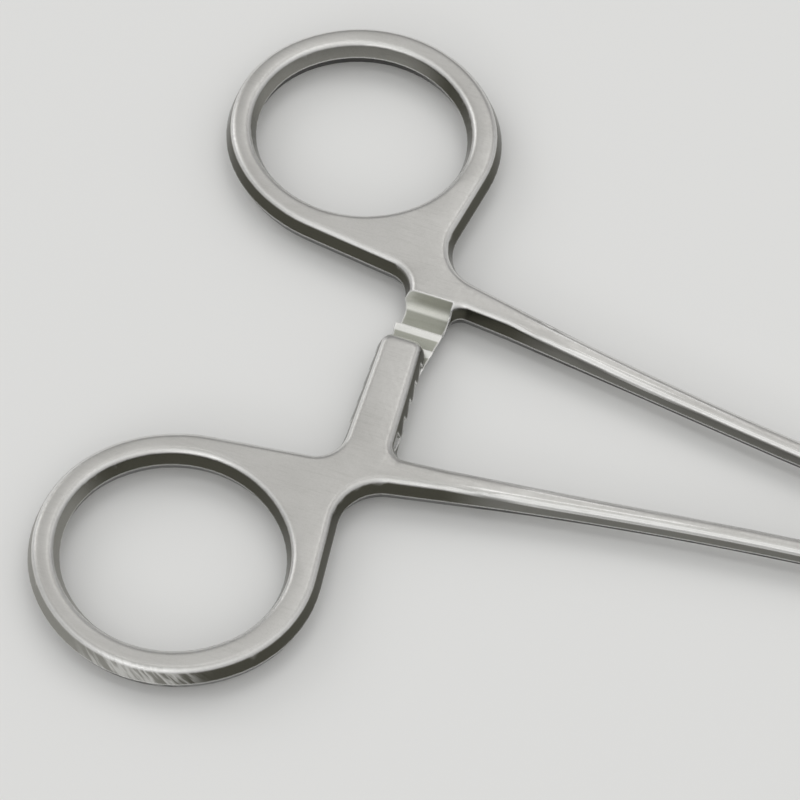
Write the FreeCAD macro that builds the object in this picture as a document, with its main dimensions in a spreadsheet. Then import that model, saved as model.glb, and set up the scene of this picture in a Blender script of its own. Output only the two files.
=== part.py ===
import FreeCAD, Part
import math
import os
import Sketcher

# Ring-handled guidewire pliers with a box lock, in millimetres.
#
# Two forged steel halves cross at a riveted box lock. Each half is one piece: finger ring,
# ratchet arm, slim shank, its share of the lock, and a grooved jaw. The female half carries
# two cheeks with a slot between them, and the male half passes through the slot as a flat
# tongue. Both halves are drawn the same way up, with the finger ring on the +Y side and the
# jaw on the -Y side, about the pivot as origin. The male half is then turned over about the
# long axis. The pliers lie flat, +X towards the jaws, with the origin under their middle.

# Driving sizes: name, value, meaning.
SIZES = [
    # overall
    ("handle_reach", 102.0, "pivot to the back of the finger rings"),
    ("jaw_reach", 38.0, "pivot to the tip of the jaws"),
    # forged section
    ("handle_thick", 3.7, "thickness of rings, webs and ratchet arms together"),
    ("draft", 18.0, "slope of the forged side walls, degrees"),
    ("edge_radius", 0.95, "rounding of the forged edges, ground as three narrow flats"),
    # finger ring
    ("ring_offset", 26.0, "centre of a finger ring from the long axis"),
    ("hole_length", 22.0, "finger opening along the pliers"),
    ("hole_width", 20.2, "finger opening across the pliers"),
    ("hole_oval", 0.66, "how much tighter than half round the ends of the opening are"),
    ("band_back", 3.1, "width of the ring at its back"),
    ("band_side", 3.2, "width of the ring at its far side"),
    ("band_front", 3.6, "width of the ring at its front"),
    ("ring_oval", 0.9, "how much tighter than half round the ends of the ring are"),
    # web between ring, arm and shank, measured from the middle of the opening
    ("web_front", 13.0, "front corner, where ring and shank meet outside"),
    ("web_front_radius", 4.3, "hollow in that corner"),
    ("web_back", 3.2, "bend in the rear edge, behind the middle"),
    ("web_back_rise", 0.2, "that bend, further out than the near edge of the ring"),
    ("web_back_radius", 15.0, "curve of that bend"),
    ("web_foot_height", 11.0, "rear edge where it meets the arm, from the long axis"),
    ("web_foot_radius", 2.6, "hollow in that corner"),
    ("crotch_radius", 1.2, "hollow between arm and shank"),
    # ratchet arm
    ("arm_left", 10.9, "rear edge of the arm at its root, from the middle of the opening"),
    ("arm_right", 16.3, "front edge of the arm at its root, likewise"),
    ("upper_arm_tip_left", 11.0, "rear edge of the upper arm at its tip, likewise"),
    ("upper_arm_tip_right", 14.7, "front edge of the upper arm at its tip, likewise"),
    ("lower_arm_tip_left", 10.15, "rear edge of the lower arm at its tip, likewise"),
    ("lower_arm_tip_right", 15.1, "front edge of the lower arm at its tip, likewise"),
    ("arm_overlap", 4.4, "arm tip past the long axis"),
    ("arm_tip_radius", 1.5, "corners of the arm tip"),
    # ratchet
    ("step_height", 9.2, "shoulder of the milled recess, from the long axis"),
    ("recess_floor", 1.0, "floor of the recess below the middle plane"),
    ("recess_radius", 1.5, "curve between shoulder and floor"),
    ("recess_right", 15.96, "front limit of the recess, from the middle of the opening"),
    ("tooth_first", 6.3, "steep face of the first tooth, from the long axis"),
    ("tooth_pitch", 2.1, "distance between teeth"),
    ("tooth_land", 0.6, "flat on top of a tooth"),
    ("tooth_depth", 0.6, "depth of a tooth"),
    ("tooth_gap", 0.05, "top of a tooth below the middle plane"),
    # shank
    ("stub_reach", 22.0, "end of the web's part of the shank, from the middle of the opening"),
    ("root_outer", 11.5, "outer edge of the shank there, from the long axis"),
    ("root_inner", 8.29, "inner edge of the shank there, from the long axis"),
    ("root_outer_slope", 0.205, "slope of the outer edge"),
    ("root_inner_slope", 0.10, "slope of the inner edge"),
    ("shank_width", 2.3, "slimmest width of the shank"),
    ("shank_thick", 2.7, "slimmest thickness of the shank"),
    ("shank_bow", 4.5, "bow of the outer edge of the shank towards the long axis"),
    ("width_blend", 0.45, "share of the shank that narrows from the root"),
    ("thick_blend", 0.3, "share of the shank that thins from the root"),
    ("lock_blend", 0.22, "share of the shank that flares to the lock"),
    # box lock
    ("lock_thick", 4.8, "thickness of the box lock"),
    ("lock_half_width", 4.2, "side of the lock from the long axis"),
    ("lock_rear", 8.0, "rear end of the lock from the pivot"),
    ("lock_front", 7.0, "front end of the lock from the pivot"),
    ("lock_edge", 0.5, "rounding of the lock's long edges"),
    ("lock_radius", 4.6, "radius of the cheeks"),
    ("cheek_edge", 0.3, "bevel of the rim of the cheeks"),
    ("halves_gap", 0.1, "rear faces of the lock from the long axis"),
    ("tongue_thick", 1.9, "thickness of the tongue"),
    ("tongue_radius", 3.8, "radius of the tongue about the pivot"),
    ("tongue_start", 1.6, "tongue's shoulders from the pivot, along the pliers"),
    ("slot_radius", 3.9, "inner wall of the slot about the pivot"),
    ("slot_start", 1.55, "end walls of the slot from the pivot, along the pliers"),
    ("slip_fit", 0.05, "clearance of the sliding faces"),
    # rivet pin
    ("pin_radius", 1.6, "radius of the pin"),
    ("pin_fit", 0.03, "clearance of the pin in the tongue"),
    ("pin_head", 0.5, "depth and extra radius of the pin's countersunk heads"),
    # jaws
    ("jaw_gap", 0.05, "gripping face from the long axis"),
    ("jaw_tip_width", 2.5, "width of one jaw at its tip"),
    ("jaw_tip_thick", 3.2, "thickness of a jaw at its tip"),
    ("jaw_edge", 1.0, "rounding of a jaw's outer edges at its tip"),
    ("jaw_nose", 0.8, "length of the bevelled nose of a jaw"),
    ("groove_radius", 0.6, "groove that holds the wire"),
    ("groove_start", 12.0, "start of that groove from the pivot"),
    ("serration_start", 10.0, "first cross groove from the pivot"),
    ("serration_pitch", 1.5, "distance between cross grooves"),
    ("serration_depth", 0.3, "depth of a cross groove"),
    ("serration_margin", 1.0, "plain length left at the tip"),
]

SHANK_STATIONS = (0.0, 0.14, 0.32, 0.55, 0.78, 0.9, 1.0)

document = FreeCAD.newDocument("guidewire_pliers")
sheet = document.addObject("Spreadsheet::Sheet", "Sizes")
for row, (alias, number, meaning) in enumerate(SIZES, start=1):
    sheet.set(f"A{row}", alias)
    sheet.set(f"B{row}", str(number))
    sheet.set(f"C{row}", meaning)
    sheet.setAlias(f"B{row}", alias)
document.recompute()


def formula(text):
    """Write a formula's bare size names as cells of the sheet."""
    for alias, _, _ in sorted(SIZES, key=lambda size: -len(size[0])):
        text = text.replace(f"{{{alias}}}", f"Sizes.{alias}")
    return text


def value(text):
    """Number that a formula gives with the present sizes."""
    return float(sheet.evalExpression(formula(text)))


# Places worked out from the sizes
RING_X = "({band_back} - {handle_reach} + {hole_length} / 2)"
RING_LENGTH = "({band_back} + {hole_length} + {band_front})"
RING_WIDTH = "({hole_width} + 2 * {band_side})"
HALF_THICK = "({handle_thick} / 2)"
LOCK_HALF = "({lock_thick} / 2)"
TONGUE_HALF = "({tongue_thick} / 2)"
STUB_X = f"({RING_X} + {{stub_reach}})"
SHANK_LENGTH = f"(-{{lock_rear}} - {STUB_X})"


def bind(sketch, constraint, text):
    """Add a constraint whose value follows a formula."""
    index = sketch.addConstraint(constraint)
    sketch.setExpression(f"Constraints[{index}]", formula(text))


def fix_point(sketch, geometry, position, x_text, y_text):
    """Place a sketch point by two formulas."""
    for kind, text in (("DistanceX", x_text), ("DistanceY", y_text)):
        bind(sketch, Sketcher.Constraint(kind, -1, 1, geometry, position, value(text)), text)


def add_arc(sketch, centre, radius, first, last, clockwise):
    """Add an arc and give its number and the positions of its first and last point."""
    angles = [math.atan2(p.y - centre.y, p.x - centre.x) for p in (first, last)]
    if clockwise:
        angles.reverse()
    circle = Part.Circle(centre, FreeCAD.Vector(0, 0, 1), radius)
    number = sketch.addGeometry(Part.ArcOfCircle(circle, *angles), False)
    return (number, 2, 1) if clockwise else (number, 1, 2)


def draw_chain(sketch, corners, first=None, last=None):
    """Draw straight lines through corners, each (x, y, radius or None).

    Without first and last the chain is closed. With them it is open, and the two end
    points are left free for whatever they are then joined to. Gives the first line and
    the last one.
    """
    closed = first is None
    places = [FreeCAD.Vector(value(x), value(y), 0) for x, y, _ in corners]
    ring = places if closed else [first] + places + [last]
    offset = 0 if closed else 1
    arrivals = []
    departures = []
    centres = []
    for number, (_, _, radius_text) in enumerate(corners):
        here = ring[number + offset]
        before = (ring[number + offset - 1] - here).normalize()
        after = (ring[(number + offset + 1) % len(ring)] - here).normalize()
        reach = 0.0
        centre = None
        if radius_text:
            half_angle = before.getAngle(after) / 2
            radius = value(radius_text)
            reach = radius / math.tan(half_angle)
            centre = here + (before + after).normalize() * (radius / math.sin(half_angle))
        arrivals.append(here + before * reach)
        departures.append(here + after * reach)
        centres.append(centre)

    starts = departures if closed else [first] + departures
    ends = arrivals[1:] + arrivals[:1] if closed else arrivals + [last]
    lines = [sketch.addGeometry(Part.LineSegment(a, b), False) for a, b in zip(starts, ends)]
    for number, (x_text, y_text, radius_text) in enumerate(corners):
        line_in = lines[number - 1] if closed else lines[number]
        line_out = lines[number] if closed else lines[number + 1]
        if radius_text is None:
            sketch.addConstraint(Sketcher.Constraint("Coincident", line_in, 2, line_out, 1))
            fix_point(sketch, line_out, 1, x_text, y_text)
            continue
        turn = (arrivals[number] - centres[number]).cross(departures[number] - centres[number])
        arc, begin, finish = add_arc(sketch, centres[number], value(radius_text),
                                     arrivals[number], departures[number], turn.z < 0)
        corner = sketch.addGeometry(Part.Point(places[number]), True)
        fix_point(sketch, corner, 1, x_text, y_text)
        sketch.addConstraint(Sketcher.Constraint("PointOnObject", corner, 1, line_in))
        sketch.addConstraint(Sketcher.Constraint("PointOnObject", corner, 1, line_out))
        sketch.addConstraint(Sketcher.Constraint("Tangent", line_in, 2, arc, begin))
        sketch.addConstraint(Sketcher.Constraint("Tangent", arc, finish, line_out, 1))
        bind(sketch, Sketcher.Constraint("Radius", arc, value(radius_text)), radius_text)
    return lines[0], lines[-1]


class Oval:
    """Oval of four tangent arcs: tight ones at the ends of its longer way, flat ones beside.

    Each arc is known by its side: front, far, back or near, seen from the oval's middle.
    """

    SIDES = {"front": (1, 0), "far": (0, 1), "back": (-1, 0), "near": (0, -1)}

    def __init__(self, middle_x, middle_y, length, width, tightness):
        upright = value(width) > value(length)
        longer, shorter = (width, length) if upright else (length, width)
        tight = f"({shorter} / 2 - {tightness})"
        shift = f"({longer} / 2 - {tight})"
        flat = f"(({shift}^2 + ({shorter} / 2)^2 - {tight}^2) / (2 * {tightness}))"
        rise = f"({flat} - {shorter} / 2)"
        self.tight_sides = ("far", "near") if upright else ("front", "back")
        self.texts = {}
        for side, (x, y) in self.SIDES.items():
            reach = shift if side in self.tight_sides else f"(-{rise})"
            radius = tight if side in self.tight_sides else flat
            self.texts[side] = (f"({middle_x} + {x} * {reach})",
                                f"({middle_y} + {y} * {reach})", radius)
        self.centres = {side: FreeCAD.Vector(value(x), value(y), 0)
                        for side, (x, y, _) in self.texts.items()}
        self.radii = {side: value(radius) for side, (_, _, radius) in self.texts.items()}

    def joint(self, one, other):
        """Point where the arcs of two neighbouring sides meet."""
        tight, flat = (one, other) if one in self.tight_sides else (other, one)
        outwards = (self.centres[tight] - self.centres[flat]).normalize()
        return self.centres[tight] + outwards * self.radii[tight]

    def add(self, sketch, side, first, last, clockwise):
        """Add the arc of one side between two of its points."""
        number, *_ = add_arc(sketch, self.centres[side], self.radii[side], first, last, clockwise)
        return number

    def hold(self, sketch, side, arc, is_cut=False):
        """Fix an arc's size, and its place where its neighbours don't give it."""
        centre_x, centre_y, radius = self.texts[side]
        bind(sketch, Sketcher.Constraint("Radius", arc, value(radius)), radius)
        if side in self.tight_sides:
            fix_point(sketch, arc, 3, centre_x, centre_y)
        elif is_cut and side in ("far", "near"):
            bind(sketch, Sketcher.Constraint("DistanceX", -1, 1, arc, 3, value(centre_x)), centre_x)
        elif is_cut:
            bind(sketch, Sketcher.Constraint("DistanceY", -1, 1, arc, 3, value(centre_y)), centre_y)


def draw_opening(sketch, oval):
    """Draw the whole oval as a closed line."""
    order = ("front", "far", "back", "near")
    arcs = []
    for number, side in enumerate(order):
        before = oval.joint(side, order[number - 1])
        after = oval.joint(side, order[(number + 1) % 4])
        arcs.append(oval.add(sketch, side, before, after, False))
    for number, side in enumerate(order):
        following = arcs[(number + 1) % 4]
        sketch.addConstraint(Sketcher.Constraint("Tangent", arcs[number], 2, following, 1))
        oval.hold(sketch, side, arcs[number])


def tangent_point(place, centre, radius, sense):
    """Point of a circle where the line from an outside place touches it."""
    away = place - centre
    angle = math.atan2(away.y, away.x) + sense * math.acos(radius / away.Length)
    return centre + FreeCAD.Vector(math.cos(angle), math.sin(angle), 0) * radius


def draw_handle(sketch, arm):
    """Outline of ring, web, ratchet arm and the root of the shank, at the middle plane."""
    ring = Oval(f"({RING_LENGTH} / 2 - {{handle_reach}})", "{ring_offset}", RING_LENGTH,
                RING_WIDTH, "{ring_oval}")
    front_x = f"{RING_X} + {{web_front}}"
    front_y = f"{{root_outer}} + {{root_outer_slope}} * ({STUB_X} - ({front_x}))"
    crotch_x = f"{RING_X} + {{arm_right}}"
    crotch_y = f"{{root_inner}} + {{root_inner_slope}} * ({STUB_X} - ({crotch_x}))"
    back_y = f"{{ring_offset}} - {RING_WIDTH} / 2 + {{web_back_rise}}"
    corners = [
        (front_x, front_y, "{web_front_radius}"),
        (STUB_X, "{root_outer}", None),
        (STUB_X, "{root_inner}", None),
        (crotch_x, crotch_y, "{crotch_radius}"),
        (f"{RING_X} + {{{arm}_arm_tip_right}}", "-{arm_overlap}", "{arm_tip_radius}"),
        (f"{RING_X} + {{{arm}_arm_tip_left}}", "-{arm_overlap}", "{arm_tip_radius}"),
        (f"{RING_X} + {{arm_left}}", "{web_foot_height}", "{web_foot_radius}"),
        (f"{RING_X} - {{web_back}}", back_y, "{web_back_radius}"),
    ]
    front_corner = FreeCAD.Vector(value(front_x), value(front_y), 0)
    back_corner = FreeCAD.Vector(value(corners[-1][0]), value(back_y), 0)
    leave = tangent_point(front_corner, ring.centres["front"], ring.radii["front"], 1)
    arrive = tangent_point(back_corner, ring.centres["near"], ring.radii["near"], -1)
    first_line, last_line = draw_chain(sketch, corners, leave, arrive)

    joints = [arrive, ring.joint("near", "back"), ring.joint("back", "far"),
              ring.joint("far", "front"), leave]
    sides = ("near", "back", "far", "front")
    arcs = [ring.add(sketch, side, begin, end, True)
            for side, begin, end in zip(sides, joints, joints[1:])]
    sketch.addConstraint(Sketcher.Constraint("Tangent", last_line, 2, arcs[0], 2))
    for one, other in zip(arcs, arcs[1:]):
        sketch.addConstraint(Sketcher.Constraint("Tangent", one, 1, other, 2))
    sketch.addConstraint(Sketcher.Constraint("Tangent", arcs[-1], 1, first_line, 1))
    for side, arc in zip(sides, arcs):
        ring.hold(sketch, side, arc, side in ("near", "front"))


def new_sketch(body, name, plane, height=None):
    """Sketch on one of the body's own planes, or parallel to it at a height."""
    sketch = body.newObject("Sketcher::SketchObject", name)
    planes = {feature.Role: feature for feature in body.Origin.OriginFeatures}
    sketch.AttachmentSupport = [(planes[plane], "")]
    sketch.MapMode = "FlatFace"
    if height:
        sketch.AttachmentOffset = FreeCAD.Placement()
        sketch.setExpression(".AttachmentOffset.Base.z", formula(height))
    return sketch


def edge_names(shape, wanted):
    """Names of the edges that fit a test."""
    return [f"Edge{number}" for number, edge in enumerate(shape.Edges, start=1) if wanted(edge)]


def face_names(shape, wanted):
    """Names of the faces that fit a test."""
    return [f"Face{number}" for number, face in enumerate(shape.Faces, start=1) if wanted(face)]


def all_at(thing, axis, place):
    """Whether every corner of an edge or face lies at one place along an axis."""
    return all(abs(getattr(corner, axis) - place) < 1e-5 for corner in thing.Vertexes)


def origin_plane(body, role):
    """One of the body's own planes."""
    return next(feature for feature in body.Origin.OriginFeatures if feature.Role == role)


def flat_reaches(lean, radius):
    """Sizes of the two bevels that stand for a rounding, on a wall that leans in degrees."""
    turns = [f"tan((90 - {lean}) / {share})" for share in (2, 4, 8)]
    return (f"({radius} * ({turns[0]} - {turns[1]}))", f"({radius} * ({turns[1]} - {turns[2]}))")


def forge_handle(body, arm):
    """Ring, web, arm and shank root, drafted both ways from the parting line."""
    sketch = new_sketch(body, "HandleOutline", "XY_Plane")
    draw_handle(sketch, arm)
    draw_opening(sketch, Oval(RING_X, "{ring_offset}", "{hole_length}", "{hole_width}",
                              "{hole_oval}"))
    pad = body.newObject("PartDesign::Pad", "HandleBlank")
    pad.Profile = sketch
    pad.setExpression("Length", formula(HALF_THICK))
    document.recompute()

    cut_end = value(STUB_X)
    top = value(HALF_THICK)
    walls = face_names(pad.Shape, lambda face: not all_at(face, "Z", 0)
                       and not all_at(face, "Z", top) and not all_at(face, "X", cut_end))
    draft = body.newObject("PartDesign::Draft", "DraftedWalls")
    draft.Base = (pad, walls)
    draft.NeutralPlane = (origin_plane(body, "XY_Plane"), [""])
    draft.setExpression("Angle", formula("{draft}"))
    document.recompute()

    rim = edge_names(draft.Shape, lambda edge: all_at(edge, "Z", top)
                     and not all_at(edge, "X", cut_end))
    first, second = flat_reaches("{draft}", "{edge_radius}")
    bevel = body.newObject("PartDesign::Chamfer", "ForgedShoulder")
    bevel.Base = (draft, rim)
    bevel.setExpression("Size", formula(first))
    document.recompute()

    depth = top - value(f"{first} * cos({{draft}})")
    rims = edge_names(bevel.Shape, lambda edge: not all_at(edge, "X", cut_end)
                      and (all_at(edge, "Z", top) or all_at(edge, "Z", depth)))
    shoulder = body.newObject("PartDesign::Chamfer", "ForgedShoulderFlats")
    shoulder.Base = (bevel, rims)
    shoulder.setExpression("Size", formula(second))
    document.recompute()

    mirrored = body.newObject("PartDesign::Mirrored", "LowerHalf")
    mirrored.TransformMode = "Whole shape"
    mirrored.MirrorPlane = (origin_plane(body, "XY_Plane"), [""])
    body.Tip = mirrored
    document.recompute()
    return mirrored


def draw_forged_section(sketch, outer, inner, half, lean, radius):
    """Cross-section of a forged bar, widest at the middle plane, with flats on its edges."""
    first, second = flat_reaches(lean, radius)
    share = f"({second} / (2 * {first} * cos((90 - {lean}) / 2)))"
    inset = f"{half} * tan({lean})"
    # From the corner: across the top, and down the wall
    steps = [("0", f"({first} + {second})"), (f"(1 - {share})", first), (share, first),
             ("1", f"({first} + {second})")]
    corners = []
    for side, upper, from_wall in (("outer", 1, True), ("inner", 1, False),
                                   ("inner", -1, True), ("outer", -1, False)):
        edge, inwards = (outer, -1) if side == "outer" else (inner, 1)
        if from_wall:
            corners.append((edge, "0", None))
        for down, reach in (reversed(steps) if from_wall else steps):
            across = f"({reach} * (1 - {down} * (1 + sin({lean}))))"
            drop = f"({reach} * {down} * cos({lean}))"
            corners.append((f"{edge} + {inwards} * ({inset} + {across})",
                            f"{upper} * ({half} - {drop})", None))
    draw_chain(sketch, corners)


def shank_section(body, share):
    """Section of the shank at a share of its length, from the root to the lock."""
    rest = round(1 - share, 6)
    flare = f"(max(0; {share} - 1 + {{lock_blend}}) / {{lock_blend}})^2"
    narrowing = f"max(0; 1 - {share} / {{width_blend}})^2"
    thinning = f"max(0; 1 - {share} / {{thick_blend}})^2"
    outer = (f"({{lock_half_width}} + {rest} * ({{root_outer}} - {{lock_half_width}}"
             f" - {{shank_bow}}) + {rest}^2 * {{shank_bow}})")
    width = (f"({{shank_width}} + ({{root_outer}} - {{root_inner}} - {{shank_width}}) * {narrowing}"
             f" + ({{lock_half_width}} - {{halves_gap}} - {{shank_width}}) * {flare})")
    half = (f"({{shank_thick}} / 2 + ({HALF_THICK} - {{shank_thick}} / 2) * {thinning}"
            f" + ({LOCK_HALF} - {{shank_thick}} / 2) * {flare})")
    lean = f"({{draft}} * (1 - {flare}))"
    radius = f"({{edge_radius}} + ({{lock_edge}} - {{edge_radius}}) * {flare})"
    name = f"ShankSection{round(share * 100):03d}"
    sketch = new_sketch(body, name, "YZ_Plane", f"{STUB_X} + {share} * {SHANK_LENGTH}")
    draw_forged_section(sketch, outer, f"({outer} - {width})", half, lean, radius)
    return sketch


def add_shank(body, root):
    """Loft the slim shank from the cut end of the web to the lock."""
    cut_end = value(STUB_X)
    end_face = face_names(root.Shape, lambda face: all_at(face, "X", cut_end))
    sections = [shank_section(body, share) for share in SHANK_STATIONS[1:]]
    document.recompute()
    loft = body.newObject("PartDesign::AdditiveLoft", "Shank")
    loft.Profile = (root, end_face)
    loft.Sections = sections
    document.recompute()
    return sections[-1]


def add_prism(body, name, section, length, towards_jaws):
    """Straight bar from an end section."""
    prism = body.newObject("PartDesign::Pad", name)
    prism.Profile = section
    prism.Reversed = not towards_jaws
    prism.setExpression("Length", formula(length))
    document.recompute()
    return prism


def jaw_section(body, name, x_text, width, thick, radius):
    """Section of a jaw, flat on its gripping side."""
    sketch = new_sketch(body, name, "YZ_Plane", x_text)
    draw_chain(sketch, [
        ("-{jaw_gap}", f"-{thick} / 2", None), ("-{jaw_gap}", f"{thick} / 2", None),
        (f"-{width}", f"{thick} / 2", radius), (f"-{width}", f"-{thick} / 2", radius),
    ])
    return sketch


def turn_profile(body, kind, name, corners):
    """Turn a profile, drawn as (radius, height, rounding), about the pivot."""
    sketch = new_sketch(body, f"{name}Profile", "XZ_Plane")
    draw_chain(sketch, corners)
    turned = body.newObject(f"PartDesign::{kind}", name)
    turned.Profile = sketch
    turned.ReferenceAxis = (sketch, ["V_Axis"])
    turned.Angle = 360
    document.recompute()
    return turned


def pin_corners():
    """Half outline of the rivet pin with its two countersunk heads."""
    head = "({pin_radius} + {pin_head})"
    neck = f"({LOCK_HALF} - {{pin_head}})"
    return [
        ("0", f"-{LOCK_HALF}", None), (head, f"-{LOCK_HALF}", None),
        ("{pin_radius}", f"-{neck}", None), ("{pin_radius}", neck, None),
        (head, LOCK_HALF, None), ("0", LOCK_HALF, None),
    ]


def round_disc(sketch, radius):
    """Circle about the pivot."""
    circle = Part.Circle(FreeCAD.Vector(), FreeCAD.Vector(0, 0, 1), value(radius))
    number = sketch.addGeometry(circle, False)
    sketch.addConstraint(Sketcher.Constraint("Coincident", number, 3, -1, 1))
    bind(sketch, Sketcher.Constraint("Radius", number, value(radius)), radius)


def cut(body, name, sketch, length, both_ways=False):
    """Cut a sketch away, over a length along its normal or half of it each way."""
    pocket = body.newObject("PartDesign::Pocket", name)
    pocket.Profile = sketch
    pocket.SideType = "Symmetric" if both_ways else "One side"
    pocket.Reversed = not both_ways
    pocket.setExpression("Length", formula(length))
    document.recompute()
    return pocket


def cut_slot(body):
    """Cut the slot between the cheeks, open where the tongue's two ends come out."""
    radius = value("{slot_radius}")
    start = value("{slot_start}")
    wall = math.sqrt(radius ** 2 - start ** 2)
    sketch = new_sketch(body, "SlotOutline", "XY_Plane")
    beyond = "2 * {lock_radius}"
    reach = value(beyond)
    points = [(-radius, 0), (-reach, 0), (-reach, -reach), (start, -reach), (start, -wall)]
    vectors = [FreeCAD.Vector(x, y, 0) for x, y in points]
    rear_lines = [sketch.addGeometry(Part.LineSegment(a, b), False)
                  for a, b in zip(vectors, vectors[1:])]
    front_lines = [sketch.addGeometry(Part.LineSegment(a * -1, b * -1), False)
                   for a, b in zip(vectors, vectors[1:])]
    centre = FreeCAD.Vector()
    front_arc, *_ = add_arc(sketch, centre, radius, vectors[4], vectors[0] * -1, False)
    rear_arc, *_ = add_arc(sketch, centre, radius, vectors[4] * -1, vectors[0], False)
    for lines, arc, before, sign in ((rear_lines, front_arc, rear_arc, "-"),
                                     (front_lines, rear_arc, front_arc, "")):
        for one, other in zip(lines, lines[1:]):
            sketch.addConstraint(Sketcher.Constraint("Coincident", one, 2, other, 1))
        sketch.addConstraint(Sketcher.Constraint("Coincident", lines[3], 2, arc, 1))
        sketch.addConstraint(Sketcher.Constraint("Coincident", before, 2, lines[0], 1))
        sketch.addConstraint(Sketcher.Constraint("Coincident", arc, 3, -1, 1))
        bind(sketch, Sketcher.Constraint("Radius", arc, radius), "{slot_radius}")
        sketch.addConstraint(Sketcher.Constraint("PointOnObject", lines[0], 1, -1))
        other_sign = "" if sign else "-"
        fix_point(sketch, lines[1], 1, f"{sign}{beyond}", "0")
        fix_point(sketch, lines[2], 1, f"{sign}{beyond}", f"{sign}{beyond}")
        fix_point(sketch, lines[3], 1, f"{other_sign}{{slot_start}}", f"{sign}{beyond}")
        sketch.addConstraint(Sketcher.Constraint("Vertical", lines[3]))
    cut(body, "TongueSlot", sketch, "{tongue_thick} + 2 * {slip_fit}", True)


def cut_recess(body, side, sign):
    """Sink one face of the male half so that a cheek turns in it."""
    sketch = new_sketch(body, f"{side}RecessOutline", "XY_Plane",
                        f"{sign} * ({TONGUE_HALF} + {{lock_thick}})")
    round_disc(sketch, "{lock_radius} + {slip_fit}")
    recess = body.newObject("PartDesign::Pocket", f"{side}Recess")
    recess.Profile = sketch
    recess.Reversed = sign < 0
    recess.setExpression("Length", formula("{lock_thick}"))
    document.recompute()
    return recess


def mill_ratchet(body):
    """Mill the arm down to its middle plane and cut the ratchet teeth along it."""
    front_limit = f"{RING_X} + {{recess_right}}"
    sketch = new_sketch(body, "RatchetProfile", "YZ_Plane", front_limit)
    above = "{handle_thick}"
    crest = "-{tooth_gap}"
    root = "-({tooth_gap} + {tooth_depth})"
    corners = [("{step_height}", above, None), ("{step_height}", "-{recess_floor}",
                                                "{recess_radius}"),
               ("{tooth_first}", "-{recess_floor}", None)]
    teeth = int(value("floor(({tooth_first} + {arm_overlap}) / {tooth_pitch})"))
    for tooth in range(teeth):
        place = f"{{tooth_first}} - {tooth} * {{tooth_pitch}}"
        corners.append((place, crest, None))
        corners.append((f"{place} - {{tooth_land}}", crest, None))
        corners.append((f"{place} - {{tooth_pitch}}", root, None))
    beyond = "-({arm_overlap} + {tooth_pitch})"
    corners.append((beyond, root, None))
    corners.append((beyond, above, None))
    draw_chain(sketch, corners)
    pocket = body.newObject("PartDesign::Pocket", "RatchetTeeth")
    pocket.Profile = sketch
    pocket.setExpression("Length", formula("{recess_right}"))
    document.recompute()


def cut_grip(body):
    """Cut the wire groove and the row of cross grooves into the gripping face."""
    sketch = new_sketch(body, "WireGrooveProfile", "YZ_Plane", "{groove_start}")
    round_disc(sketch, "{groove_radius}")
    pocket = body.newObject("PartDesign::Pocket", "WireGroove")
    pocket.Profile = sketch
    pocket.Reversed = True
    pocket.setExpression("Length", formula("{jaw_reach}"))
    document.recompute()

    tooth = new_sketch(body, "SerrationProfile", "XY_Plane")
    half = "{serration_depth}"
    draw_chain(tooth, [
        (f"{{serration_start}} - {half}", "0", None),
        ("{serration_start}", "-({jaw_gap} + {serration_depth})", None),
        (f"{{serration_start}} + {half}", "0", None),
    ])
    groove = cut(body, "Serration", tooth, "2 * {lock_thick}", True)
    row = body.newObject("PartDesign::LinearPattern", "SerrationRow")
    row.Originals = [groove]
    row.Direction = (tooth, ["H_Axis"])
    row.Mode = "Spacing"
    row.setExpression("Offset", formula("{serration_pitch}"))
    count = "floor(({jaw_reach} - {serration_margin} - {serration_start}) / {serration_pitch}) + 1"
    row.setExpression("Occurrences", formula(count))
    body.Tip = row
    document.recompute()


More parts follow.
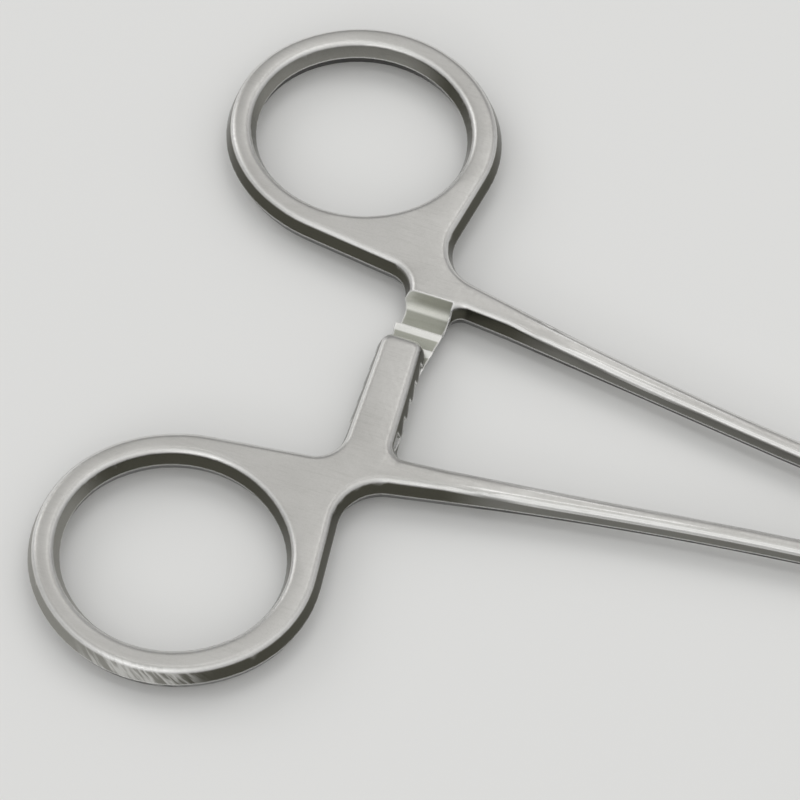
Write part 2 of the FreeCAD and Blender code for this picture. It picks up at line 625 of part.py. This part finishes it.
def make_half(name, is_female, arm):
    """Forge, lock and grind one half, drawn with ring on the +Y and jaw on the -Y side."""
    body = document.addObject("PartDesign::Body", name)
    body.Label = name
    lock_section = add_shank(body, forge_handle(body, arm))
    reach_in = "0" if is_female else "{tongue_start}"
    add_prism(body, "LockRear", lock_section, f"{{lock_rear}} - {reach_in}", True)
    if is_female:
        flat_radius = "({lock_radius} - {cheek_edge})"
        rim_height = f"({LOCK_HALF} - {{cheek_edge}})"
        turn_profile(body, "Revolution", "Cheeks", [
            ("0", f"-{LOCK_HALF}", None), (flat_radius, f"-{LOCK_HALF}", None),
            ("{lock_radius}", f"-{rim_height}", None), ("{lock_radius}", rim_height, None),
            (flat_radius, LOCK_HALF, None), ("0", LOCK_HALF, None),
        ])
    else:
        disc = new_sketch(body, "TongueOutline", "XY_Plane")
        round_disc(disc, "{tongue_radius}")
        tongue = body.newObject("PartDesign::Pad", "Tongue")
        tongue.Profile = disc
        tongue.SideType = "Symmetric"
        tongue.setExpression("Length", formula("{tongue_thick}"))
        document.recompute()

    near = jaw_section(body, "JawRoot", "{lock_front}", "{lock_half_width}", "{lock_thick}",
                       "{lock_edge}")
    add_prism(body, "LockFront", near, f"{{lock_front}} - {reach_in}", False)
    nose_start = jaw_section(body, "JawNoseStart", "{jaw_reach} - {jaw_nose}",
                             "{jaw_tip_width}", "{jaw_tip_thick}", "{jaw_edge}")
    tip = jaw_section(body, "JawTip", "{jaw_reach}", "({jaw_tip_width} - {jaw_nose} / 2)",
                      "({jaw_tip_thick} - {jaw_nose})", "({jaw_edge} - {jaw_nose} / 4)")
    for name, first, last in (("Jaw", near, nose_start), ("JawNose", nose_start, tip)):
        loft = body.newObject("PartDesign::AdditiveLoft", name)
        loft.Profile = first
        loft.Sections = [last]
        document.recompute()

    if is_female:
        cut_slot(body)
        turn_profile(body, "Groove", "PinSeat", pin_corners())
    else:
        cut_recess(body, "Upper", 1)
        cut_recess(body, "Lower", -1)
        bore = new_sketch(body, "BoreOutline", "XY_Plane")
        round_disc(bore, "{pin_radius} + {pin_fit}")
        cut(body, "PinBore", bore, "2 * {lock_thick}", True)
    mill_ratchet(body)
    cut_grip(body)
    return body


def make_pin():
    """Rivet pin with countersunk heads, flush with the lock's two faces."""
    body = document.addObject("PartDesign::Body", "box_lock_pin")
    body.Label = "box_lock_pin"
    turn_profile(body, "Revolution", "Rivet", pin_corners())
    return body


def place(body, turned_over):
    """Set a piece on the floor with the middle of the pliers over the origin."""
    rotation = FreeCAD.Rotation(FreeCAD.Vector(1, 0, 0), 180 if turned_over else 0)
    body.Placement = FreeCAD.Placement(FreeCAD.Vector(), rotation)
    body.setExpression(".Placement.Base.x", formula("({handle_reach} - {jaw_reach}) / 2"))
    body.setExpression(".Placement.Base.z", formula(LOCK_HALF))


female = make_half("female_handle_half", True, "upper")
male = make_half("male_handle_half", False, "lower")
pin = make_pin()
place(female, False)
place(male, True)
place(pin, False)
document.recompute()

pieces = (female, male, pin)
for thing in document.Objects:
    if "Invalid" in thing.State or "Error" in thing.State:
        raise RuntimeError(f"{thing.Label} did not build: {thing.getStatusString()}")
for piece in pieces:
    if piece.Shape.isNull() or not piece.Shape.isValid() or len(piece.Shape.Solids) != 1:
        raise RuntimeError(f"{piece.Label} is not one sound solid")

os.makedirs("parts", exist_ok=True)
for piece in pieces:
    piece.Shape.exportStep(f"parts/{piece.Label}.step")
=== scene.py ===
import math
from types import SimpleNamespace

import bmesh
import bpy
import numpy as np
from mathutils import Matrix, Vector


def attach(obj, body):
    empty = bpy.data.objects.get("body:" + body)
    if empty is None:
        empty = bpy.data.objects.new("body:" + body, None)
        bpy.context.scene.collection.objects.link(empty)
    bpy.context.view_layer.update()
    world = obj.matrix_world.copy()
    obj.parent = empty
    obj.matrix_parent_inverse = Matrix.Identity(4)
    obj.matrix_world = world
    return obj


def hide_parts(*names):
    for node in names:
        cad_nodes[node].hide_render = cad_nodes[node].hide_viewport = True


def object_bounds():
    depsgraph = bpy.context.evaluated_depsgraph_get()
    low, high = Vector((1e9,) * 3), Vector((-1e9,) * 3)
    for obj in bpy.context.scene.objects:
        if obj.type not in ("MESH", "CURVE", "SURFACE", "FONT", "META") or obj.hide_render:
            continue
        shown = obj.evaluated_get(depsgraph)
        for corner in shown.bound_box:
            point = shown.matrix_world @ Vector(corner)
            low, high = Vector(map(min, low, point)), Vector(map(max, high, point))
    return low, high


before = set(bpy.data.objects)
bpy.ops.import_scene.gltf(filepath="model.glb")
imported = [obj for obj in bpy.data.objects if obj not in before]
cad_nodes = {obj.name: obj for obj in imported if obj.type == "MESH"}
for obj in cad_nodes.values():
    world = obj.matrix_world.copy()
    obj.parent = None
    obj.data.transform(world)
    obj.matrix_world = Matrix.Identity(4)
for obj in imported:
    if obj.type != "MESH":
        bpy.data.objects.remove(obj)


def plain_box():
    """Corners of the whole object as plain lists."""
    return [[float(number) for number in corner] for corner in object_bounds()]


# Lengths are in metres. The pliers lie flat, with +X towards the jaws.
cad_box = plain_box()
MIDDLE_PLANE = (cad_box[0][2] + cad_box[1][2]) / 2

# Camera at the photograph's angle
PHOTO_PIXELS = 800
PHOTO_FOCAL = 3308.5
SENSOR_WIDTH = 36.0
TARGET = Vector((-0.04177, -0.00127, 0.000794))
TOWARDS_CAMERA = Vector((0.1738, -0.4739, 0.8633)).normalized()
DISTANCE = 0.3277
ROLL = math.radians(-0.18)
NEAREST = 0.01
FURTHEST = 20.0

# Colours of the steel's finishes, with painted shade on the walls and painted highlights on the
# shoulders, the ratchet's steps and the edges
SATIN = (0.47, 0.463, 0.447)
# Painted highlight on the rounded shoulders between the flat tops and the walls
SHOULDER_HIGHLIGHT = (0.93, 0.925, 0.905)
# Side walls: dark painted shade, darkest where they face down, lighter on the shanks; the
# ground spots and the lock's walls are lighter
DARK_WALL_SHADE = (0.085, 0.083, 0.066)
UNDERSIDE_SHADE = (0.024, 0.023, 0.019)
SHANK_WALL_SHADE = (0.22, 0.217, 0.20)
LOCK_WALL = (0.42, 0.415, 0.395)
GROUND_WALL = (0.34, 0.335, 0.31)
# Ratchet: cut flats milled and darkened in part by painted shade in the recess; the steps get a
# painted highlight
MILLED_SHADED = (0.37, 0.375, 0.33)
STEP_HIGHLIGHT = (0.86, 0.865, 0.81)
# Near white: file marks, lighter tooth lands, and the painted highlight along the edges
PALE_MARK_AND_HIGHLIGHT = (0.97, 0.965, 0.95)
SHADE = (0.50, 0.49, 0.465)

# Roughness, from the smoothest to the dullest
FACE_ROUGHNESS = (0.34, 0.44)
WALL_ROUGHNESS = (0.20, 0.38)
MILLED_ROUGHNESS = 0.52

# From here on, a pair of limits is where a finish has faded out and where it is full.
# Share of the normal that points up or down
TOP_SLOPES = (0.80, 0.97)
WALL_SLOPES = (0.66, 0.38)
UNDER_SLOPES = (0.05, -0.05)

# Places along X where one wall colour, with its painted shade, takes over from another
SHANK_PLACES = (-0.034, -0.028)
LOCK_PLACES = (0.011, 0.021)

# Painted highlight along the edges: width of the rounding, and how far its normal agrees with
# the plain one
HIGHLIGHT_WIDTH = 0.00027
HIGHLIGHT_SAMPLES = 6
HIGHLIGHT_AGREEMENT = (0.998, 0.990)
EDGE_HIGHLIGHT = 0.8

# Spots seen from above: middle, then the distances where the finish has faded and is full
UPPER_GROUND_SPOT = ((-0.0630, 0.0345), (0.014, 0.008))
LOWER_GROUND_SPOT = ((-0.0630, -0.0345), (0.015, 0.010))
FILED_SPOT = ((-0.0545, -0.0388), (0.0075, 0.003))

# File marks on the outer wall of the lower ring
FILE_TURN = math.radians(42.0)
FILE_STRETCH = (1.0, 0.12, 0.12)
FILED_TILTS = (0.97, 0.85)
FILED_SIDE = (-0.05, -0.25)
FILED_WEAR = 0.5

# Ratchet: its middle along X, its reach along X and Y, and its milled faces
RATCHET_PLACE = -0.0426
RATCHET_SIDES = (0.00270, 0.00262)
RATCHET_ENDS = (0.0096, 0.0094)
STEP_FACING = (0.40, 0.60)
CUT_SLOPES = (0.6, 0.8)
CUT_DEPTHS = (0.0015, 0.0013)
LAND_HEIGHT = MIDDLE_PLANE - 0.00005
LAND_SLOPES = (0.8, 0.95)
LAND_DEPTHS = (0.00013, 0.00006)
LAND_LIGHTENING = 0.6

# Fine patterns: cells per metre, detail and roughness
CLOUD = (110.0, 3.0, 0.5)
SPECK = (2600.0, 3.0, 0.6)
STREAKS = (2400.0, 2.0, 0.6)
BRUSHING = (5200.0, 2.0, 0.55)
GRAIN = (9000.0, 2.0, 0.6)
BRUSH_STRETCH = (0.06, 1.0, 1.0)
SPECK_LIMITS = (0.3, 0.7)
STREAK_LIMITS = (0.42, 0.62)

# Shading by a pattern: its limits, and how dark the shade is in full
CLOUD_SHADE = ((0.35, 0.7), 0.14)
GRAIN_SHADE = ((0.40, 0.75), 0.16)
BRUSH_SHADE = ((0.45, 0.75), 0.12)

# Relief: strength and height
GRAIN_RELIEF = (0.22, 0.00002)
FILED_RELIEF = (0.35, 0.00004)

# Shoulders of the shanks, between the web and the lock
SHANK_FROM = -0.0308
SHANK_TO = 0.0242
FLAT_SLOPES = (0.5, 0.95)
SHORT_RUNG = 1e-4

# Meshing of the skins
WELD = 2e-7
SHARP_TURN = math.radians(27.0)

# Floor and room
FLOOR_REACH = 2.0
FLOOR_COLOUR = (0.80, 0.80, 0.79, 1.0)
FLOOR_ROUGHNESS = 0.45
LOW_ROOM = (0.30, 0.30, 0.31)
HIGH_ROOM = (1.0, 1.0, 0.99)
ROOM_HEIGHTS = (-0.1, 0.9)
ROOM_STRENGTH = 0.75

# Lamps: name, place, point aimed at, sides and power
LAMPS = (
    ("overhead", (0.03, 0.44, 0.72), (-0.01, 0.02, 0.0), (0.46, 0.34), 0.62),
    ("zenith", (0.0, -0.02, 0.75), (0.0, 0.0, 0.0), (0.8, 0.12), 0.55),
    ("side", (-0.7, 0.25, 0.45), (-0.03, 0.0, 0.0), (0.4, 0.4), 0.7),
    ("front", (-0.12, -0.78, 0.42), (-0.02, 0.0, 0.0), (0.6, 0.2), 0.55),
)


def make_camera():
    """Camera that frames the handles as the photograph does."""
    data = bpy.data.cameras.new("photo_camera")
    data.sensor_fit = "HORIZONTAL"
    data.sensor_width = SENSOR_WIDTH
    data.lens = PHOTO_FOCAL * SENSOR_WIDTH / PHOTO_PIXELS
    data.clip_start = NEAREST
    data.clip_end = FURTHEST
    camera = bpy.data.objects.new("photo_camera", data)
    bpy.context.scene.collection.objects.link(camera)
    level = Vector((-TOWARDS_CAMERA.y, TOWARDS_CAMERA.x, 0)).normalized()
    upright = TOWARDS_CAMERA.cross(level)
    right = level * math.cos(ROLL) + upright * math.sin(ROLL)
    up = upright * math.cos(ROLL) - level * math.sin(ROLL)
    place = TARGET + TOWARDS_CAMERA * DISTANCE
    rows = [[right[i], up[i], TOWARDS_CAMERA[i], place[i]] for i in range(3)]
    camera.matrix_world = Matrix(rows + [[0, 0, 0, 1]])
    bpy.context.scene.camera = camera


# Node helpers
def add(tree, kind, settings=(), **inputs):
    """Add a shader node, set its properties, and set or link its inputs.

    An input is named with _ for a space, or by its number after a _.
    """
    node = tree.nodes.new(kind)
    for name, setting in dict(settings).items():
        setattr(node, name, setting)
    for name, source in inputs.items():
        key = int(name[1:]) if name[0] == "_" else name.replace("_", " ")
        if isinstance(source, bpy.types.NodeSocket):
            tree.links.new(source, node.inputs[key])
        else:
            node.inputs[key].default_value = source
    return node


def span(tree, source, limits, results=(0.0, 1.0)):
    """Map a value between two limits to two results, smoothly and no further."""
    node = add(tree, "ShaderNodeMapRange", {"interpolation_type": "SMOOTHSTEP"}, Value=source)
    names = ("From Min", "From Max", "To Min", "To Max")
    for name, number in zip(names, (*limits, *results)):
        node.inputs[name].default_value = number
    return node.outputs["Result"]


def math_node(tree, operation, first, second=0.0):
    """Result of one operation on two values."""
    return add(tree, "ShaderNodeMath", {"operation": operation}, _0=first, _1=second).outputs[0]


def distance_from(tree, source, number):
    """How far a value is from a number."""
    return math_node(tree, "ABSOLUTE", math_node(tree, "SUBTRACT", source, number))


def product(tree, first, *others):
    """Product of several shares."""
    for other in others:
        first = math_node(tree, "MULTIPLY", first, other)
    return first


def mixed(tree, share, first, second, blend="MIX"):
    """Colour between two, by a share."""
    node = add(tree, "ShaderNodeMix", {"data_type": "RGBA", "blend_type": blend}, _0=share)
    for index, colour in ((6, first), (7, second)):
        if isinstance(colour, bpy.types.NodeSocket):
            tree.links.new(colour, node.inputs[index])
        else:
            node.inputs[index].default_value = (*colour, 1.0)
    return node.outputs[2]


def mixed_number(tree, share, first, second):
    """Number between two, by a share."""
    return add(tree, "ShaderNodeMix", {"data_type": "FLOAT"}, _0=share, _2=first,
               _3=second).outputs[0]


def noise(tree, place, pattern):
    """Soft random pattern."""
    scale, detail, roughness = pattern
    return add(tree, "ShaderNodeTexNoise", {}, Vector=place, Scale=scale, Detail=detail,
               Roughness=roughness).outputs["Fac"]


def bump(tree, relief, height, normal):
    """Normal tilted by the relief of a pattern."""
    strength, distance = relief
    return add(tree, "ShaderNodeBump", {}, Strength=strength, Distance=distance, Height=height,
               Normal=normal).outputs[0]


def near_spot(tree, place, spot):
    """1 in a spot seen from above, falling to 0 around it."""
    middle, distances = spot
    flat = add(tree, "ShaderNodeVectorMath", {"operation": "MULTIPLY"}, _0=place,
               _1=(1.0, 1.0, 0.0)).outputs[0]
    away = add(tree, "ShaderNodeVectorMath", {"operation": "DISTANCE"}, _0=flat,
               _1=(*middle, 0.0)).outputs["Value"]
    return span(tree, away, distances)


# Steel
def file_marks(tree, seen):
    """Slanting marks of a file on the outer wall at the back of the lower ring."""
    turned = add(tree, "ShaderNodeMapping", {}, Vector=seen.place,
                 Rotation=(0.0, FILE_TURN, 0.0)).outputs[0]
    drawn_out = add(tree, "ShaderNodeMapping", {}, Vector=turned, Scale=FILE_STRETCH).outputs[0]
    streaks = span(tree, noise(tree, drawn_out, STREAKS), STREAK_LIMITS)
    return product(tree, near_spot(tree, seen.place, FILED_SPOT), streaks,
                   span(tree, seen.tilt, FILED_TILTS), span(tree, seen.facing["Y"], FILED_SIDE))


def ratchet_faces(tree, seen):
    """Shares of the ratchet's cut flats, of its steps, and of the lands of its teeth."""
    along = distance_from(tree, seen.parts["X"], RATCHET_PLACE)
    across = math_node(tree, "ABSOLUTE", seen.parts["Y"])
    depth = distance_from(tree, seen.parts["Z"], MIDDLE_PLANE)
    from_land = distance_from(tree, seen.parts["Z"], LAND_HEIGHT)
    squarely = math_node(tree, "ABSOLUTE", seen.facing["Y"])
    on_arm = product(tree, span(tree, along, RATCHET_SIDES), span(tree, across, RATCHET_ENDS))
    cut_flat = product(tree, on_arm, span(tree, seen.tilt, CUT_SLOPES),
                       span(tree, depth, CUT_DEPTHS))
    step = product(tree, on_arm, span(tree, squarely, STEP_FACING))
    land = product(tree, on_arm, span(tree, seen.tilt, LAND_SLOPES),
                   span(tree, from_land, LAND_DEPTHS))
    return cut_flat, step, land


def read_surface(tree):
    """Where the shaded point lies, how it faces, and its share of each kind of finish and of
    the painted edge highlight.
    """
    seen = SimpleNamespace()
    seen.place = add(tree, "ShaderNodeTexCoord").outputs["Object"]
    seen.parts = add(tree, "ShaderNodeSeparateXYZ", {}, Vector=seen.place).outputs
    normal = add(tree, "ShaderNodeNewGeometry").outputs["Normal"]
    seen.facing = add(tree, "ShaderNodeSeparateXYZ", {}, Vector=normal).outputs
    seen.tilt = math_node(tree, "ABSOLUTE", seen.facing["Z"])

    # Painted highlight along the edges, where a rounded normal leaves the plain one
    seen.rounded = add(tree, "ShaderNodeBevel", {"samples": HIGHLIGHT_SAMPLES},
                       Radius=HIGHLIGHT_WIDTH).outputs[0]
    agreement = add(tree, "ShaderNodeVectorMath", {"operation": "DOT_PRODUCT"}, _0=normal,
                    _1=seen.rounded).outputs["Value"]
    seen.edge = span(tree, agreement, HIGHLIGHT_AGREEMENT)

    seen.on_wall = span(tree, seen.tilt, WALL_SLOPES)
    seen.on_shank = span(tree, seen.parts["X"], SHANK_PLACES)
    seen.cut_flat, seen.step, seen.land = ratchet_faces(tree, seen)

    # Ring ends ground by hand after the drop forging, with file marks on one of them
    seen.ground = math_node(tree, "MAXIMUM", near_spot(tree, seen.place, UPPER_GROUND_SPOT),
                            near_spot(tree, seen.place, LOWER_GROUND_SPOT))
    seen.filed = file_marks(tree, seen)
    seen.grain = noise(tree, seen.place, GRAIN)
    return seen


def steel_colour(tree, seen):
    """Colour by kind of surface: painted shade on the walls, painted highlights on the
    shoulders, the ratchet's steps and along the edges, lighter tooth lands, darkened at random
    by the fine patterns, and bright file marks.
    """
    # Walls carry painted shade: darkest facing down, lighter on the shanks, where ground and at
    # the lock
    wall_shade = mixed(tree, seen.on_shank, DARK_WALL_SHADE, SHANK_WALL_SHADE)
    wall_shade = mixed(tree, seen.ground, wall_shade, GROUND_WALL)
    wall_shade = mixed(tree, span(tree, seen.facing["Z"], UNDER_SLOPES), wall_shade, UNDERSIDE_SHADE)
    wall_shade = mixed(tree, span(tree, seen.parts["X"], LOCK_PLACES), wall_shade, LOCK_WALL)
    # Shoulders get a painted highlight; the flat tops keep the satin colour
    face = mixed(tree, span(tree, seen.tilt, TOP_SLOPES), SHOULDER_HIGHLIGHT, SATIN)
    colour = mixed(tree, seen.on_wall, face, wall_shade)
    # Ratchet: painted shade on the cut flats, painted highlight on the steps
    colour = mixed(tree, seen.cut_flat, colour, MILLED_SHADED)
    colour = mixed(tree, seen.step, colour, STEP_HIGHLIGHT)
    # Lands of the teeth made lighter
    colour = mixed(tree, product(tree, seen.land, LAND_LIGHTENING), colour, PALE_MARK_AND_HIGHLIGHT)

    cloud = noise(tree, seen.place, CLOUD)
    brush_place = add(tree, "ShaderNodeMapping", {}, Vector=seen.place,
                      Scale=BRUSH_STRETCH).outputs[0]
    brushing = noise(tree, brush_place, BRUSHING)
    for pattern, (limits, depth) in ((cloud, CLOUD_SHADE), (seen.grain, GRAIN_SHADE),
                                     (brushing, BRUSH_SHADE)):
        shade = span(tree, pattern, limits, (0.0, depth))
        colour = mixed(tree, shade, colour, SHADE, "MULTIPLY")
    colour = mixed(tree, product(tree, seen.filed, FILED_WEAR), colour, PALE_MARK_AND_HIGHLIGHT)
    # Painted highlight along the edges
    return mixed(tree, product(tree, seen.edge, EDGE_HIGHLIGHT), colour, PALE_MARK_AND_HIGHLIGHT)


def steel_roughness(tree, seen):
    """Satin on the faces, polished on the walls, duller where ground or milled."""
    rough_face = span(tree, noise(tree, seen.place, SPECK), SPECK_LIMITS, FACE_ROUGHNESS)
    duller = math_node(tree, "MAXIMUM", seen.ground, seen.on_shank)
    rough_wall = span(tree, duller, (0.0, 1.0), WALL_ROUGHNESS)
    rough = mixed_number(tree, seen.on_wall, rough_face, rough_wall)
    milled = math_node(tree, "MAXIMUM", seen.step, seen.cut_flat)
    return mixed_number(tree, milled, rough, MILLED_ROUGHNESS)


def steel(name):
    """Stainless steel: satin faces, polished side walls darkened by painted shade, and painted
    highlights on the shoulders and as bright lines along the edges.
    """
    material = bpy.data.materials.new(name)
    material.use_nodes = True
    tree = material.node_tree
    tree.nodes.clear()
    seen = read_surface(tree)
    relief = bump(tree, GRAIN_RELIEF, seen.grain, seen.rounded)
    relief = bump(tree, FILED_RELIEF, seen.filed, relief)
    shader = add(tree, "ShaderNodeBsdfPrincipled", {}, Metallic=1.0,
                 Base_Color=steel_colour(tree, seen), Roughness=steel_roughness(tree, seen),
                 Normal=relief)
    add(tree, "ShaderNodeOutputMaterial", {}, Surface=shader.outputs[0])
    return material


# Skins of the two halves
def folded_strips(shape):
    """Faces of the folded flats, one set for each shoulder of the shank."""
    strips = {}
    for face in shape.faces:
        centre = face.calc_center_median()
        inwards = face.normal.z * (centre.z - MIDDLE_PLANE) < 0
        sloping = FLAT_SLOPES[0] < abs(face.normal.z) < FLAT_SLOPES[1]
        if inwards and sloping and SHANK_FROM < centre.x < SHANK_TO:
            strips.setdefault((face.normal.z > 0, face.normal.y > 0), set()).add(face)
    return strips.values()


def unfold_shoulders(shape):
    """Turn the middle flat of each shank's shoulders the right way round.

    In the solids the flats on both sides of it run on past each other, so it lies
    folded back. Mirrored across its own centre line, each flat ends where the next starts.
    """
    shape.normal_update()
    for strip in folded_strips(shape):
        rungs = {edge for face in strip for edge in face.edges
                 if edge.calc_length() > SHORT_RUNG
                 and all(side in strip for side in edge.link_faces)}
        if not rungs:
            continue
        middles = sorted(tuple((edge.verts[0].co + edge.verts[1].co) / 2) for edge in rungs)
        line = np.array(middles)
        for corner in {vertex for face in strip for vertex in face.verts}:
            if SHANK_FROM < corner.co.x < SHANK_TO:
                for axis in (1, 2):
                    centre = np.interp(corner.co.x, line[:, 0], line[:, axis])
                    corner.co[axis] = 2 * centre - corner.co[axis]


def skin(node_name, body, material, name):
    """Dress a half: its own solid's surface, shaded as round where it turns gently by the face
    normals taken before the shoulders were unfolded.
    """
    mesh = cad_nodes[node_name].data.copy()
    mesh.name = name
    shape = bmesh.new()
    shape.from_mesh(mesh)
    bmesh.ops.remove_doubles(shape, verts=shape.verts, dist=WELD)
    unfold_shoulders(shape)
    for face in shape.faces:
        face.smooth = True
        face.material_index = 0
    for edge in shape.edges:
        edge.smooth = edge.calc_face_angle(math.pi) < SHARP_TURN
    shape.to_mesh(mesh)
    shape.free()
    mesh.materials.clear()
    mesh.materials.append(material)
    piece = bpy.data.objects.new(name, mesh)
    bpy.context.scene.collection.objects.link(piece)
    piece.modifiers.new("weighted", "WEIGHTED_NORMAL").keep_sharp = True
    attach(piece, body)
    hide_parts(node_name)


# Floor, room and lamps
def make_floor():
    """Plain pale board under the pliers."""
    mesh = bpy.data.meshes.new("floor")
    corners = [(x, y, 0) for x, y in ((-FLOOR_REACH, -FLOOR_REACH), (FLOOR_REACH, -FLOOR_REACH),
                                      (FLOOR_REACH, FLOOR_REACH), (-FLOOR_REACH, FLOOR_REACH))]
    mesh.from_pydata(corners, [], [(0, 1, 2, 3)])
    floor = bpy.data.objects.new("floor", mesh)
    bpy.context.scene.collection.objects.link(floor)
    material = bpy.data.materials.new("floor_board")
    material.use_nodes = True
    shader = material.node_tree.nodes["Principled BSDF"]
    shader.inputs["Base Color"].default_value = FLOOR_COLOUR
    shader.inputs["Roughness"].default_value = FLOOR_ROUGHNESS
    mesh.materials.append(material)


def make_room():
    """Soft even room, a little darker near the horizon."""
    world = bpy.data.worlds.new("studio")
    bpy.context.scene.world = world
    world.use_nodes = True
    tree = world.node_tree
    background = tree.nodes["Background"]
    place = add(tree, "ShaderNodeTexCoord").outputs["Generated"]
    height = add(tree, "ShaderNodeSeparateXYZ", {}, Vector=place).outputs["Z"]
    shade = mixed(tree, span(tree, height, ROOM_HEIGHTS), LOW_ROOM, HIGH_ROOM)
    tree.links.new(shade, background.inputs["Color"])
    background.inputs["Strength"].default_value = ROOM_STRENGTH


def make_lamp(name, place, aim, sides, power):
    """Soft area lamp."""
    data = bpy.data.lights.new(name, "AREA")
    data.shape = "RECTANGLE"
    data.size, data.size_y = sides
    data.energy = power
    lamp = bpy.data.objects.new(name, data)
    bpy.context.scene.collection.objects.link(lamp)
    lamp.location = place
    lamp.rotation_euler = (Vector(aim) - Vector(place)).to_track_quat("-Z", "Y").to_euler()


make_camera()
skin("female_handle_half", "female_half", steel("female_steel"),
     "female_half_skin")
skin("male_handle_half", "male_half", steel("male_steel"),
     "male_half_skin")
pin = cad_nodes["box_lock_pin"]
pin.data.materials.clear()
pin.data.materials.append(steel("rivet_steel"))

make_floor()
make_room()
for lamp in LAMPS:
    make_lamp(*lamp)

bpy.context.scene.view_settings.view_transform = "Standard"
